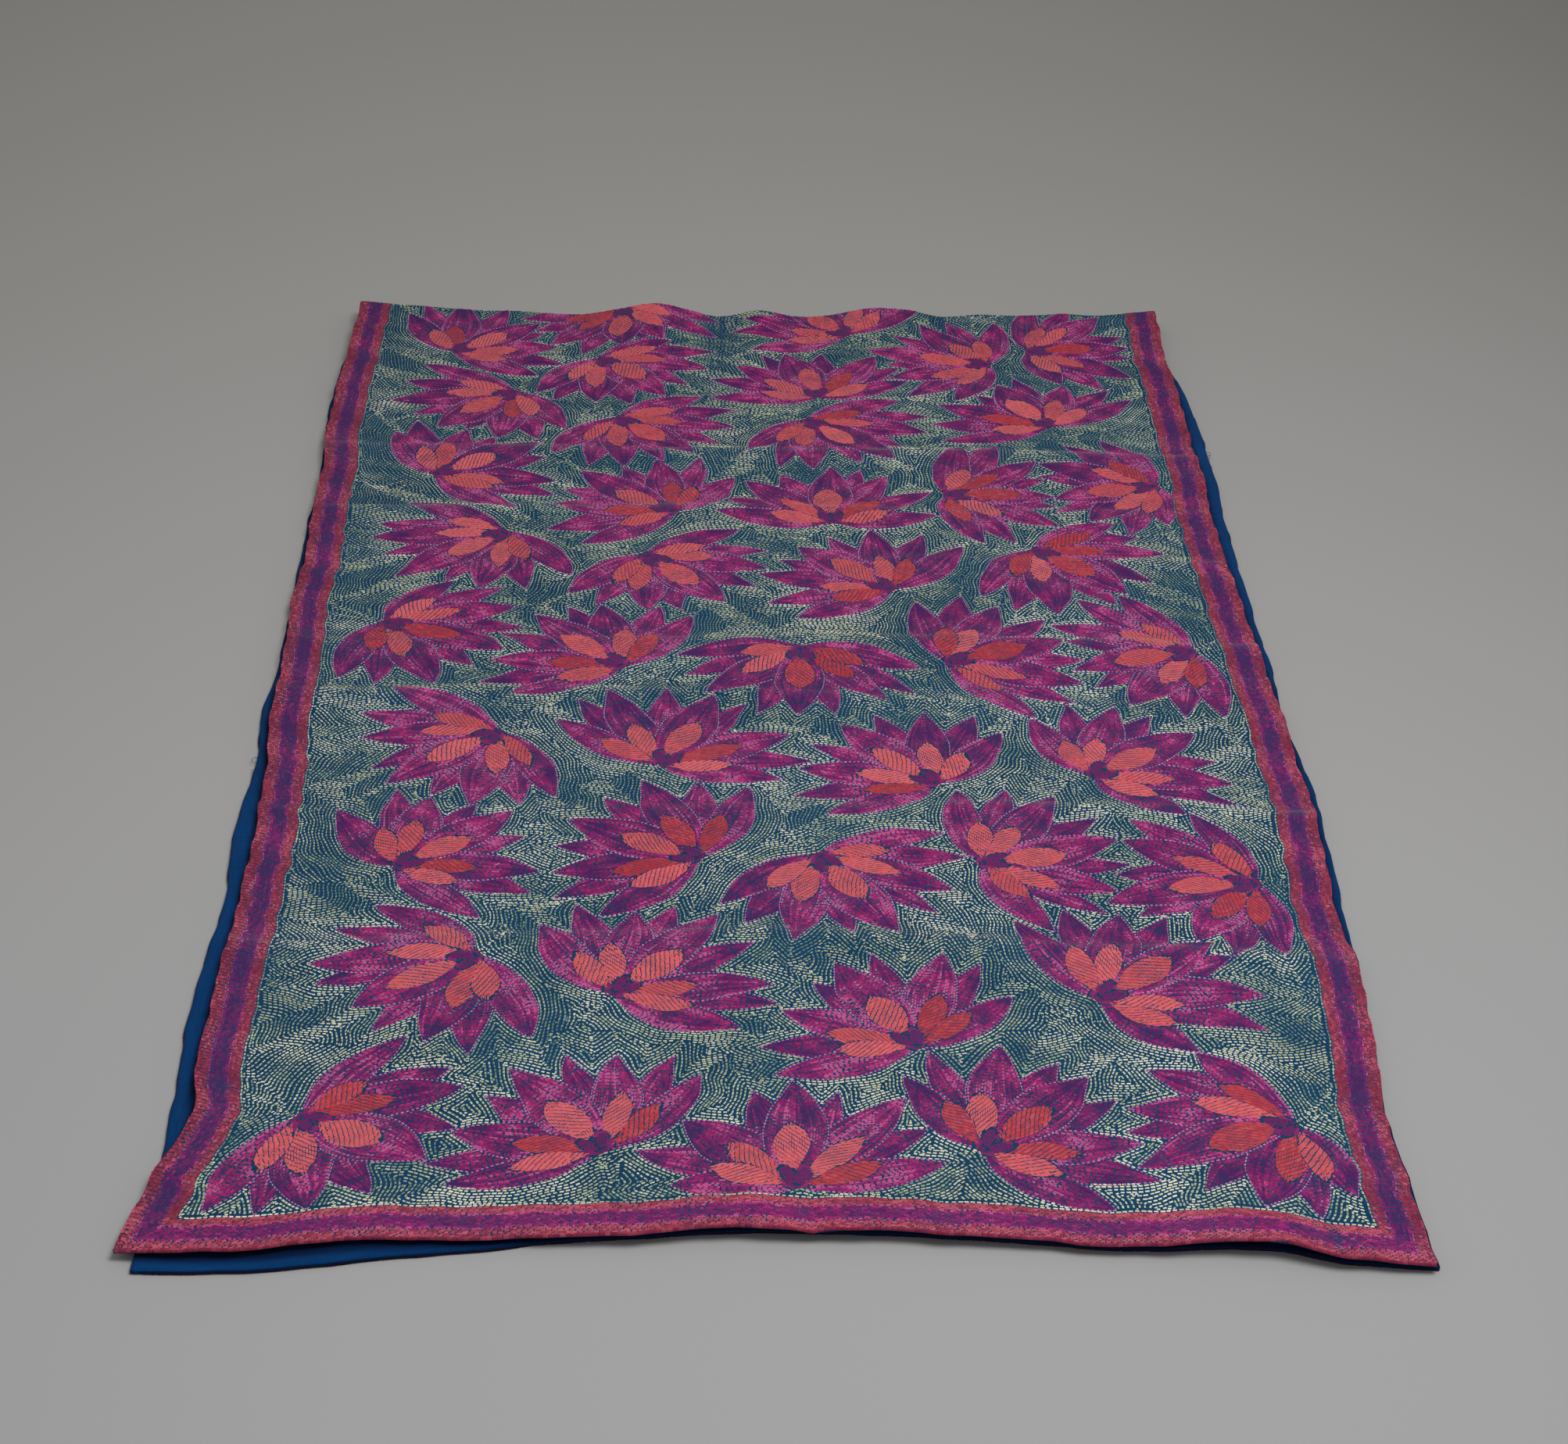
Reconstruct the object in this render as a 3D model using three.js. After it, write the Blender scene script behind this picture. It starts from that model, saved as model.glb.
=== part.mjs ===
// A kantha stole: a long embroidered cotton strip with a plain cotton backing, folded once across its
// length with the embroidery outside and laid flat. Millimetres: X runs across the stole, Y from its two
// hems towards the fold, Z is up, and the origin is under the middle of the folded stole.
import * as THREE from "three";

// Driving sizes
const WIDTH = 560;           // across the cloth
const HALF_LENGTH = 1016;    // from the hems to the fold
const FACE_THICK = 1.0;      // embroidered cloth with its stitches
const BACKING_THICK = 1.0;   // plain cloth, hems turned under
const PLY_GAP = 0.3;         // between the embroidered cloth and its backing
const HALVES_GAP = 0.5;      // between the two halves where they lie closest

// Levels of each sheet, counted outward from the middle of the gap between the two halves
const BACKING = { inner: HALVES_GAP / 2, outer: HALVES_GAP / 2 + BACKING_THICK };
const FACE = { inner: BACKING.outer + PLY_GAP, outer: BACKING.outer + PLY_GAP + FACE_THICK };
const MID_HEIGHT = FACE.outer;   // height of that middle above the surface

// The fold and the hems, one row for each wave from the left edge to the right edge.
// fold, hem: how far the upper half stands off the lower one there; topHem, underHem: how far each hem
// lies back from the straight front line.
const ACROSS = [
  { at: 0.00, fold: 8.4, hem: 0.0, topHem: -1, underHem: -10 },
  { at: 0.05, fold: 6.2, hem: 0.2, topHem: -2, underHem: -10 },
  { at: 0.10, fold: 4.6, hem: 0.8, topHem: 0, underHem: -8 },
  { at: 0.15, fold: 2.6, hem: 1.0, topHem: 5, underHem: -4 },
  { at: 0.20, fold: 2.6, hem: 0.6, topHem: 8, underHem: 1 },
  { at: 0.27, fold: 0.6, hem: 0.5, topHem: 8, underHem: 5 },
  { at: 0.32, fold: 4.4, hem: 0.7, topHem: 9, underHem: 8 },
  { at: 0.37, fold: 9.2, hem: 0.9, topHem: 10, underHem: 11 },
  { at: 0.41, fold: 5.2, hem: 1.1, topHem: 11, underHem: 12 },
  { at: 0.45, fold: 0.2, hem: 1.5, topHem: 14, underHem: 13 },
  { at: 0.50, fold: 5.2, hem: 2.0, topHem: 15, underHem: 14 },
  { at: 0.54, fold: 1.2, hem: 0.0, topHem: 13, underHem: 13 },
  { at: 0.58, fold: 1.4, hem: 2.0, topHem: 13, underHem: 12 },
  { at: 0.64, fold: 7.0, hem: 1.2, topHem: 12, underHem: 11 },
  { at: 0.69, fold: 6.0, hem: 0.8, topHem: 11, underHem: 11 },
  { at: 0.73, fold: 1.6, hem: 0.6, topHem: 9, underHem: 10 },
  { at: 0.78, fold: 3.6, hem: 1.0, topHem: 8, underHem: 9 },
  { at: 0.83, fold: 2.6, hem: 2.4, topHem: 6, underHem: 8 },
  { at: 0.88, fold: 4.6, hem: 4.2, topHem: 5, underHem: 6 },
  { at: 0.93, fold: 3.4, hem: 1.8, topHem: 0, underHem: 1 },
  { at: 1.00, fold: 7.2, hem: 0.0, topHem: -6, underHem: -2 },
];

// The side edges, one row for each stretch from the fold to the hems. Each value is how far that edge lies
// to the right of its straight line; lift is how far the upper half's left edge curls up.
const ALONG = [
  { at: 0.00, topLeft: 0, topRight: 0, underLeft: 0, underRight: 0, lift: 0.0 },
  { at: 0.06, topLeft: -1, topRight: -1, underLeft: -3, underRight: 1, lift: 1.0 },
  { at: 0.13, topLeft: -2, topRight: 1, underLeft: -6, underRight: 8, lift: 2.6 },
  { at: 0.20, topLeft: -2, topRight: 0, underLeft: -3, underRight: 10, lift: 0.6 },
  { at: 0.25, topLeft: 2, topRight: 1, underLeft: 0, underRight: 10, lift: 2.2 },
  { at: 0.31, topLeft: 2, topRight: -1, underLeft: 0, underRight: 8, lift: 0.4 },
  { at: 0.36, topLeft: 5, topRight: 0, underLeft: 1, underRight: 8, lift: 1.8 },
  { at: 0.43, topLeft: 4, topRight: 2, underLeft: 3, underRight: 8, lift: 0.6 },
  { at: 0.50, topLeft: 8, topRight: 4, underLeft: 4, underRight: 9, lift: 1.6 },
  { at: 0.55, topLeft: 8, topRight: 6, underLeft: 2, underRight: 7, lift: 0.4 },
  { at: 0.60, topLeft: 12, topRight: 6, underLeft: 6, underRight: 11, lift: 0.6 },
  { at: 0.65, topLeft: 15, topRight: 7, underLeft: 3, underRight: 11, lift: 1.2 },
  { at: 0.73, topLeft: 16, topRight: 3, underLeft: 7, underRight: 8, lift: 0.4 },
  { at: 0.80, topLeft: 15, topRight: 5, underLeft: 4, underRight: 6, lift: 1.2 },
  { at: 0.87, topLeft: 15, topRight: 0, underLeft: 6, underRight: 1, lift: 2.0 },
  { at: 0.91, topLeft: 18, topRight: -3, underLeft: 8, underRight: -1, lift: 2.2 },
  { at: 0.95, topLeft: 8, topRight: -1, underLeft: 9, underRight: 1, lift: 0.8 },
  { at: 1.00, topLeft: -2, topRight: 0, underLeft: 7, underRight: 2, lift: 0.0 },
];

// Old storage creases that cross the upper half: where, how high they stand at each side, and how far
// their slopes reach.
const CREASES = [
  { at: 0.220, left: 2.6, right: 3.4, reach: 20 },
  { at: 0.302, left: 3.0, right: 0.8, reach: 16 },
  { at: 0.365, left: 0.3, right: 1.6, reach: 18 },
  { at: 0.470, left: 1.8, right: 2.0, reach: 22 },
  { at: 0.535, left: 2.8, right: 0.5, reach: 14 },
  { at: 0.650, left: 0.4, right: 1.6, reach: 22 },
  { at: 0.765, left: 0.9, right: 2.8, reach: 18 },
];
const FOLD_REACH = 75;     // how soon the waves of the fold die out along the stole
const HEM_REACH = 110;     // the same for the waves of the upper hem
const LIFT_REACH = 28;     // how far in from the edge its curl reaches
const LOOSENESS = 0.7;     // slack swells of the upper half
const FOLD_BACK = 3;       // how far the fold lies back from its line between its waves
const FOLD_STEPS = 6;      // facets round the fold
const LEAST_STEP = 11;     // closest two rows of facets may lie

const { lerp } = THREE.MathUtils;

// A smooth curve through one column of a table, read at a share of the way along it.
function follow(rows, column, at) {
  const last = rows.length - 1;
  let i = 0;
  while (i < last - 1 && at > rows[i + 1].at) i += 1;
  const value = (k) => rows[THREE.MathUtils.clamp(k, 0, last)][column];
  const t = (at - rows[i].at) / (rows[i + 1].at - rows[i].at);
  const slopeIn = (value(i + 1) - value(i - 1)) / 2;
  const slopeOut = (value(i + 2) - value(i)) / 2;
  const bend = 3 * (value(i + 1) - value(i)) - 2 * slopeIn - slopeOut;
  const twist = 2 * (value(i) - value(i + 1)) + slopeIn + slopeOut;
  return value(i) + t * (slopeIn + t * (bend + t * twist));
}

// How far the upper half stands off the lower half.
function rise(u, at) {
  const fromFold = at * HALF_LENGTH;
  const fromHem = HALF_LENGTH - fromFold;
  let height = Math.max(follow(ACROSS, "fold", u), 0) * Math.exp(-fromFold / FOLD_REACH);
  height += Math.max(follow(ACROSS, "hem", u), 0) * Math.exp(-fromHem / HEM_REACH);
  height += Math.max(follow(ALONG, "lift", at), 0) * Math.exp(-u * WIDTH / LIFT_REACH);
  for (const crease of CREASES) {
    const away = Math.abs(at - crease.at) * HALF_LENGTH;
    height += lerp(crease.left, crease.right, u) * Math.exp(-away / crease.reach);
  }
  return height + LOOSENESS * (1 + Math.sin(5 * u + 9 * at) * Math.sin(11 * at - 2 * u)) / 2;
}

// A point of a sheet: u runs across from left to right, travel along the strip from the upper hem (0) to
// the fold (1), round the fold (2) and back to the lower hem (3), level is the sheet's own.
function place(u, travel, level) {
  const foldRise = rise(u, 0);
  const foldY = HALF_LENGTH / 2 - MID_HEIGHT - FOLD_BACK;
  const at = travel < 1 ? 1 - travel : Math.max(travel - 2, 0);
  const side = travel < 1.5 ? "top" : "under";
  const left = -WIDTH / 2 + follow(ALONG, side + "Left", at);
  const right = WIDTH / 2 + follow(ALONG, side + "Right", at);
  const x = lerp(left, right, u);
  const hemY = -HALF_LENGTH / 2 + follow(ACROSS, side + "Hem", u);
  if (travel < 1) return [x, lerp(foldY, hemY, at), MID_HEIGHT + level + rise(u, at)];
  if (travel > 2) return [x, lerp(foldY, hemY, at), MID_HEIGHT - level];
  const turn = (travel - 1) * Math.PI;
  const radius = level + foldRise / 2;
  return [x, foldY + radius * Math.sin(turn), MID_HEIGHT + foldRise / 2 + radius * Math.cos(turn)];
}

// Rows of facets follow the creases and the outline, so that each crease has a facet edge on it.
function facetRows() {
  const rows = [0, 1, ...CREASES.map((crease) => crease.at)];
  const slopeEnds = CREASES.flatMap(({ at, reach }) => [at - reach / HALF_LENGTH, at + reach / HALF_LENGTH]);
  const nearFold = FOLD_REACH / 3 / HALF_LENGTH;
  for (const at of [...slopeEnds, ...ALONG.map((row) => row.at), nearFold]) {
    if (rows.every((row) => Math.abs(row - at) * HALF_LENGTH > LEAST_STEP)) rows.push(at);
  }
  return rows.sort((a, b) => a - b);
}

const columns = ACROSS.map((row) => row.at);
const topRows = facetRows().map((at) => 1 - at).reverse();
const foldRows = Array.from({ length: FOLD_STEPS - 1 }, (_, i) => 1 + (i + 1) / FOLD_STEPS);
const underRows = ALONG.map((row) => 2 + row.at);
const travels = [...topRows, ...foldRows, ...underRows];

// One sheet: a grid of points at its outer level and one at its inner level, closed by a wall round the rim.
// Both grids split their squares along the same diagonal, so nested sheets stay parallel.
function sheet(name, levels, color) {
  const across = columns.length;
  const layer = across * travels.length;
  const points = [levels.outer, levels.inner].flatMap((level) =>
    travels.flatMap((travel) => columns.flatMap((u) => place(u, travel, level))));
  const triangles = [];
  const outer = (column, row) => row * across + column;
  for (let row = 0; row < travels.length - 1; row += 1) {
    for (let column = 0; column < across - 1; column += 1) {
      const [a, b] = [outer(column, row), outer(column + 1, row)];
      const [c, d] = [outer(column, row + 1), outer(column + 1, row + 1)];
      triangles.push(a, b, d, a, d, c);
      triangles.push(layer + a, layer + d, layer + b, layer + a, layer + c, layer + d);
    }
  }
  const lastColumn = across - 1;
  const lastRow = travels.length - 1;
  const rim = [];
  for (let column = 0; column < lastColumn; column += 1) rim.push(outer(column, 0));
  for (let row = 0; row < lastRow; row += 1) rim.push(outer(lastColumn, row));
  for (let column = lastColumn; column > 0; column -= 1) rim.push(outer(column, lastRow));
  for (let row = lastRow; row > 0; row -= 1) rim.push(outer(0, row));
  rim.forEach((here, i) => {
    const next = rim[(i + 1) % rim.length];
    triangles.push(here, layer + here, layer + next, here, layer + next, next);
  });
  const geometry = new THREE.BufferGeometry();
  geometry.setAttribute("position", new THREE.Float32BufferAttribute(points, 3));
  geometry.setIndex(triangles);
  geometry.computeVertexNormals();
  const cloth = new THREE.MeshStandardMaterial({ color, roughness: 0.9, metalness: 0 });
  const mesh = new THREE.Mesh(geometry, cloth);
  mesh.name = name;
  return mesh;
}

const stole = new THREE.Group();
stole.add(sheet("kantha_face", FACE, 0x3f5f78));
stole.add(sheet("backing", BACKING, 0x0b467d));

// The origin goes under the middle of the folded stole.
const middle = new THREE.Box3().setFromObject(stole).getCenter(new THREE.Vector3());
stole.position.set(-middle.x, -middle.y, 0);

export default stole;
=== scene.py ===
"""A kantha stole: a long strip of blue cotton, embroidered all over with lotus flowers in running stitch,
backed with plain cotton, folded once across its length and laid flat with the embroidery outside."""
import math
from types import SimpleNamespace

import bpy
import numpy as np
from mathutils import Matrix, Vector


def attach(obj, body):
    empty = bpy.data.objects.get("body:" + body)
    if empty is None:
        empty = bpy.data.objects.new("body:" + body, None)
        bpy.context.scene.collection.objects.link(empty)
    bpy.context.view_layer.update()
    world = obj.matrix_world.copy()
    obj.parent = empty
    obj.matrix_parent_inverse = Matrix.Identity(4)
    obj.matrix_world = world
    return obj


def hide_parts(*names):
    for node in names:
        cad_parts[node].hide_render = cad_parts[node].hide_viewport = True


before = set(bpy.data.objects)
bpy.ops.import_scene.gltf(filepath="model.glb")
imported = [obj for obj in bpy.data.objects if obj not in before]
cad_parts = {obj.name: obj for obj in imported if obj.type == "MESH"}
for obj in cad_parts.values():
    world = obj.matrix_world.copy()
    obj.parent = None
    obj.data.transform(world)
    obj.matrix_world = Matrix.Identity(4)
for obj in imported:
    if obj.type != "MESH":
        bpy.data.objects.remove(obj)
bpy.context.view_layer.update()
scene = bpy.context.scene
scene.view_settings.view_transform = "Standard"
rng = np.random.default_rng(16)

# ------------------------------------------------------------------------------------------------------
# Embroidered face cloth: one strip of deep blue cotton, folded once across its middle. It waves where it
# turns at the fold, and old storage creases cross its upper half. Sizes are millimetres; "across" runs
# from the left edge, and "along" from the upper hem, over the fold, to the lower hem.
WIDTH = 560.0
HALF_LENGTH = 1016.0
FOLD_LENGTH = 12.0          # cloth taken up by the turn of the fold
STRIP_LENGTH = 2 * HALF_LENGTH + FOLD_LENGTH
FACE_INNER = 1.55           # levels are counted outward from the middle of the gap between the halves
FACE_OUTER = 2.2
STITCH_TOP = 2.53           # where the stitches of the lower half are pressed flat
BACKING_OUTER = 1.2
MIDDLE = 2.55               # height of that middle above the floor
FOLD_BACK = 3.0             # how far the fold lies back from its line between its waves
SIDE_SHIFT = -2.5           # the folded stole is centred on its outline
LENGTH_SHIFT = 4.169

# share across, lift of the fold and of the upper hem there, and how far each hem lies back
WAVES = np.array([
    (0.00, 8.4, 0.4, -1, -10), (0.05, 6.2, 1.6, -2, -10), (0.10, 4.6, 1.8, 0, -8),
    (0.15, 2.6, 1.4, 5, -4), (0.20, 2.6, 0.9, 8, 1), (0.27, 0.6, 0.8, 8, 6),
    (0.32, 4.4, 1.2, 9, 11), (0.37, 9.2, 1.8, 10, 14), (0.41, 5.2, 2.4, 11, 16),
    (0.45, 0.2, 3.2, 14, 18), (0.50, 5.2, 3.6, 14, 19), (0.54, 1.2, 3.6, 13, 18),
    (0.58, 1.4, 3.2, 13, 17), (0.64, 7.0, 2.4, 11, 15), (0.69, 6.0, 1.8, 9, 12),
    (0.73, 1.6, 1.4, 6, 9), (0.78, 3.6, 2.0, 5, 8), (0.83, 2.6, 3.8, 5, 9),
    (0.88, 4.6, 5.4, 4, 8), (0.93, 3.4, 2.8, -3, 0), (1.00, 7.2, 0.0, -6, -4)])
FOLD_LIFT, HEM_LIFT, UPPER_HEM, UNDER_HEM = 1, 2, 3, 4

# share from the fold to the hem, how far each edge lies to the right of straight, and the left edge's curl
EDGES = np.array([
    (0.00, 0, 0, 0, 0, 0.0), (0.06, -1, -1, -3, 1, 1.0), (0.13, -2, 1, -6, 8, 2.6),
    (0.20, -2, 0, -3, 10, 0.6), (0.25, 2, 1, 0, 10, 2.2), (0.31, 2, -1, 0, 8, 0.4),
    (0.36, 5, 0, 1, 8, 2.0), (0.43, 4, 2, 3, 8, 1.6), (0.50, 8, 4, 4, 9, 2.6),
    (0.55, 8, 6, 2, 7, 1.8), (0.60, 12, 6, 6, 11, 2.2), (0.65, 15, 7, 3, 11, 2.6),
    (0.73, 16, 3, 7, 8, 2.0), (0.80, 15, 5, 4, 6, 2.4), (0.87, 15, 0, 6, 1, 2.8),
    (0.91, 18, -3, 8, -1, 2.8), (0.95, 8, -1, 9, 1, 1.4), (1.00, -2, 0, 7, 2, 0.2)])
UPPER_LEFT, UPPER_RIGHT, UNDER_LEFT, UNDER_RIGHT, CURL = 1, 2, 3, 4, 5

# storage creases: share from the fold, height at each side, reach of the slope, how pale each side is rubbed
CREASES = [(0.220, 2.6, 3.4, 20, 0.7, 1.0), (0.302, 3.0, 0.8, 16, 1.0, 0.2), (0.365, 0.3, 1.6, 18, 0.1, 0.3),
           (0.470, 1.8, 2.0, 22, 0.2, 0.8), (0.535, 2.8, 0.5, 14, 0.6, 0.1), (0.650, 0.4, 1.6, 22, 0.2, 0.7),
           (0.775, 0.9, 2.8, 18, 0.7, 0.4)]
FOLD_REACH = 75.0           # how soon the waves of the fold, of the upper hem and of the left edge die out
HEM_REACH = 110.0
CURL_REACH = 28.0
NICK = 295.0                # across, where the upper hem is nicked down
NICK_DEPTH = 0.8            # as a share of the height there
NICK_HALF_WIDTH = 7.0
NICK_REACH = 26.0
CREASE_FALL = 5.0           # a crease drops off steeply towards the fold
CREASE_ROUND = 1.2
# slack swells of the upper half: how high, and the two waves that cross in each
SWELLS = [(0.35, (5, 9, 0), (-2, 11, 0)), (0.22, (31, 12, 0), (-9, 57, 1)),
          (0.16, (83, -31, 2), (17, 131, 0))]
RUBBED = [(0.6, 1.3), (0.4, 4)]     # the pale line of a crease and the haze round it: strength, half width
ROWS_FOLLOW = 14            # how near a crease the rows of the mesh bend to lie along it
EDGE_SHADOW_REACH = 4.5              # how far past the edge of the upper half the painted shadow on the lower one reaches
EDGE_SHADOW_BLEND = 3.5


def follow(table, column, at):
    """A smooth curve through one column of a table, read at shares of the way along it."""
    stations, values = table[:, 0], table[:, column]
    last = len(stations) - 1
    i = np.clip(np.searchsorted(stations, at) - 1, 0, last - 1)
    before, here, there, beyond = (values[np.clip(i + k, 0, last)] for k in (-1, 0, 1, 2))
    t = (at - stations[i]) / (stations[i + 1] - stations[i])
    slope_in = (there - before) / 2
    slope_out = (beyond - here) / 2
    bend = 3 * (there - here) - 2 * slope_in - slope_out
    twist = 2 * (here - there) + slope_in + slope_out
    return here + t * (slope_in + t * (bend + t * twist))


def crossed_waves(x, y, *waves):
    """Waves multiplied by each other. Each is its turns for a unit of x and of y, and its start."""
    return math.prod(np.sin(over_x * x + over_y * y + start) for over_x, over_y, start in waves)


def crease_line(number, u):
    """How far a crease wanders along the stole, with the small jogs of a cloth folded in layers."""
    jog = 1.8 * np.tanh((u - 0.3 - 0.07 * number) * 60) + 1.2 * np.tanh((u - 0.82 + 0.05 * number) * 50)
    return jog * (-1) ** number + 1.4 * np.sin(7 * u + 2.3 * number)


def rise(u, at):
    """How far the upper half stands off the lower one."""
    from_fold = at * HALF_LENGTH
    from_hem = HALF_LENGTH - from_fold
    height = np.maximum(follow(WAVES, FOLD_LIFT, u), 0) * np.exp(-from_fold / FOLD_REACH)
    height += np.maximum(follow(WAVES, HEM_LIFT, u), 0) * np.exp(-from_hem / HEM_REACH)
    height *= 1 - NICK_DEPTH * np.exp(-np.abs(u * WIDTH - NICK) / NICK_HALF_WIDTH - from_hem / NICK_REACH)
    height += np.maximum(follow(EDGES, CURL, at), 0) * np.exp(-u * WIDTH / CURL_REACH)
    for number, (share, left, right, reach, _, _) in enumerate(CREASES):
        away = from_fold - share * HALF_LENGTH - crease_line(number, u)
        reach = np.where(away < 0, CREASE_FALL, reach)
        away = np.sqrt(away ** 2 + CREASE_ROUND ** 2) - CREASE_ROUND
        height += (left + (right - left) * u) * np.exp(-away / reach)
    for size, *waves in SWELLS:
        height += size * (1 + crossed_waves(u, at, *waves))
    return height


def waver(along):
    """How far a hem turned in by hand strays from its line."""
    return 0.45 * np.sin(0.083 * along) + 0.35 * np.sin(0.19 * along + 1) + 0.18 * np.sin(0.33 * along + 2)


def lay(across, along, level):
    """Where a point of the strip lies on the folded stole, in metres."""
    u = across / WIDTH
    turns = [0, HALF_LENGTH, HALF_LENGTH + FOLD_LENGTH, STRIP_LENGTH]
    travel = np.interp(along, turns, [0, 1, 2, 3])
    at = np.where(travel < 1, 1 - travel, np.maximum(travel - 2, 0))
    upper = travel < 1.5
    left = np.where(upper, follow(EDGES, UPPER_LEFT, at), follow(EDGES, UNDER_LEFT, at)) - WIDTH / 2
    right = np.where(upper, follow(EDGES, UPPER_RIGHT, at), follow(EDGES, UNDER_RIGHT, at)) + WIDTH / 2
    hem = np.where(upper, follow(WAVES, UPPER_HEM, u), follow(WAVES, UNDER_HEM, u)) - HALF_LENGTH / 2
    left = left + waver(along)
    right = right + waver(along + 700)
    hem = hem + waver(across) * np.where(upper, 0.8, 0.5)
    fold_line = HALF_LENGTH / 2 - MIDDLE - FOLD_BACK
    stand = rise(u, np.where(travel < 1, at, 0))
    angle = np.clip(travel - 1, 0, 1) * np.pi
    radius = level + stand / 2
    x = left + (right - left) * u
    y = fold_line + (hem - fold_line) * at
    y = np.where((travel >= 1) & (travel <= 2), fold_line + radius * np.sin(angle), y)
    turned = MIDDLE + stand / 2 + radius * np.cos(angle)
    z = np.where(travel < 1, MIDDLE + level + stand, np.where(travel > 2, MIDDLE - level, turned))
    return np.stack([x + SIDE_SHIFT, y + LENGTH_SHIFT, z], axis=-1) / 1000


def dust(across, along):
    """How pale the cloth has rubbed: most along the creases of the upper half, in broken lines."""
    u = across / WIDTH
    from_fold = np.maximum(HALF_LENGTH - along, 0)
    worn = np.zeros_like(u)
    for number, (share, _, _, _, left, right) in enumerate(CREASES):
        away = from_fold - share * HALF_LENGTH - crease_line(number, u)
        broken = 0.6 + 0.4 * np.sin(23 * u + 5 * number) * np.sin(51 * u + number)
        pale = (left + (right - left) * u) * broken
        worn += pale * sum(strength * np.exp(-(away / reach) ** 2) for strength, reach in RUBBED)
    return np.where(along < HALF_LENGTH, np.clip(worn, 0, 1), 0)


def covered(across, along):
    """Painted shadow on the lower half: full under the upper half, and fading out over the few millimetres
    past its edge.
    """
    u = across / WIDTH
    at = np.clip((along - HALF_LENGTH - FOLD_LENGTH) / HALF_LENGTH, 0, 1)
    place = lay(across, along, BACKING_OUTER) * 1000
    past_left = WIDTH / 2 - place[:, 0] + SIDE_SHIFT - WIDTH + follow(EDGES, UPPER_LEFT, at)
    past_right = place[:, 0] - SIDE_SHIFT - WIDTH / 2 - follow(EDGES, UPPER_RIGHT, at)
    past_hem = follow(WAVES, UPPER_HEM, u) - HALF_LENGTH / 2 + LENGTH_SHIFT - place[:, 1]
    past = np.maximum(np.maximum(past_left, past_right), past_hem)
    return np.clip((EDGE_SHADOW_REACH - past) / EDGE_SHADOW_BLEND, 0, 1) * (along > HALF_LENGTH)


def mesh_piece(name, points, faces):
    """A smooth mesh object from arrays of points and of faces."""
    mesh = bpy.data.meshes.new(name)
    mesh.from_pydata(points, [], faces, shade_flat=False)
    piece = bpy.data.objects.new(name, mesh)
    scene.collection.objects.link(piece)
    return piece


def keep_values(piece, **kept):
    """Stores a number, or three, for each point of a piece, for its finish to read."""
    for name, values in kept.items():
        kind, field = ("FLOAT", "value") if values.ndim == 1 else ("FLOAT_VECTOR", "vector")
        stored = piece.data.attributes.new(name, kind, "POINT")
        stored.data.foreach_set(field, values.astype(np.float32).ravel())


def cloth_sheet(name, columns, rows, inner, outer):
    """A closed sheet of cloth between two levels, on the folds of the stole."""
    across, along = np.meshgrid(columns, rows)
    for number, (share, *_) in enumerate(CREASES):
        near = np.exp(-((HALF_LENGTH * (1 - share) - along) / ROWS_FOLLOW) ** 2)
        along = along - crease_line(number, across / WIDTH) * near
    flat = np.stack([across.ravel(), along.ravel()], axis=1)
    points = np.concatenate([lay(flat[:, 0], flat[:, 1], level) for level in (outer, inner)])
    wide, layer = len(columns), len(flat)
    corner = (np.arange(len(rows) - 1)[:, None] * wide + np.arange(wide - 1)).ravel()
    top = np.stack([corner, corner + 1, corner + wide + 1, corner + wide], axis=1)
    rim = np.concatenate([np.arange(wide - 1), np.arange(len(rows) - 1) * wide + wide - 1,
                          layer - 1 - np.arange(wide - 1), (len(rows) - 1 - np.arange(len(rows) - 1)) * wide])
    wall = np.stack([rim, rim + layer, np.roll(rim, -1) + layer, np.roll(rim, -1)], axis=1)
    piece = mesh_piece(name, points, np.concatenate([top, top[:, ::-1] + layer, wall]))
    flat = np.concatenate([flat, flat])
    keep_values(piece, flat=np.column_stack([flat, np.zeros(len(flat))]), worn=dust(*flat.T),
                covered=covered(*flat.T))
    return piece


def add_node(tree, kind, given=None, **settings):
    """A node with its settings; its inputs are given plain values or other nodes' outputs."""
    node = tree.nodes.new(kind)
    for name, value in settings.items():
        setattr(node, name, value)
    for place, value in (given or {}).items():
        if isinstance(value, bpy.types.NodeSocket):
            tree.links.new(value, node.inputs[place])
        else:
            node.inputs[place].default_value = (*value, 1) if isinstance(value, tuple) else value
    return node


def arithmetic(tree, operation, *values):
    """A Math node; each value may be a number or another node's output."""
    return add_node(tree, "ShaderNodeMath", dict(enumerate(values)), operation=operation).outputs[0]


def blend_colour(tree, share, first, second, way="MIX"):
    """Mixes two colours by a share; each may be a colour or another node's output."""
    given = {0: share, 6: first, 7: second}
    return add_node(tree, "ShaderNodeMix", given, data_type="RGBA", blend_type=way).outputs[2]


def mixed(tree, *values):
    """A colour made of its red, green and blue."""
    return add_node(tree, "ShaderNodeCombineColor", dict(enumerate(values))).outputs[0]


def shades(tree, tone, stops):
    """A colour ramp, read at a tone; each stop is a position and a colour."""
    ramp = add_node(tree, "ShaderNodeValToRGB", {0: tone})
    while len(ramp.color_ramp.elements) < len(stops):
        ramp.color_ramp.elements.new(0.5)
    for element, (position, colour) in zip(ramp.color_ramp.elements, stops):
        element.position = position
        element.color = (*colour, 1)
    return ramp.outputs[0]


def kept(tree, name, output="Fac"):
    """A value that is stored for each point of a piece."""
    return add_node(tree, "ShaderNodeAttribute", attribute_name=name).outputs[output]


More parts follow.
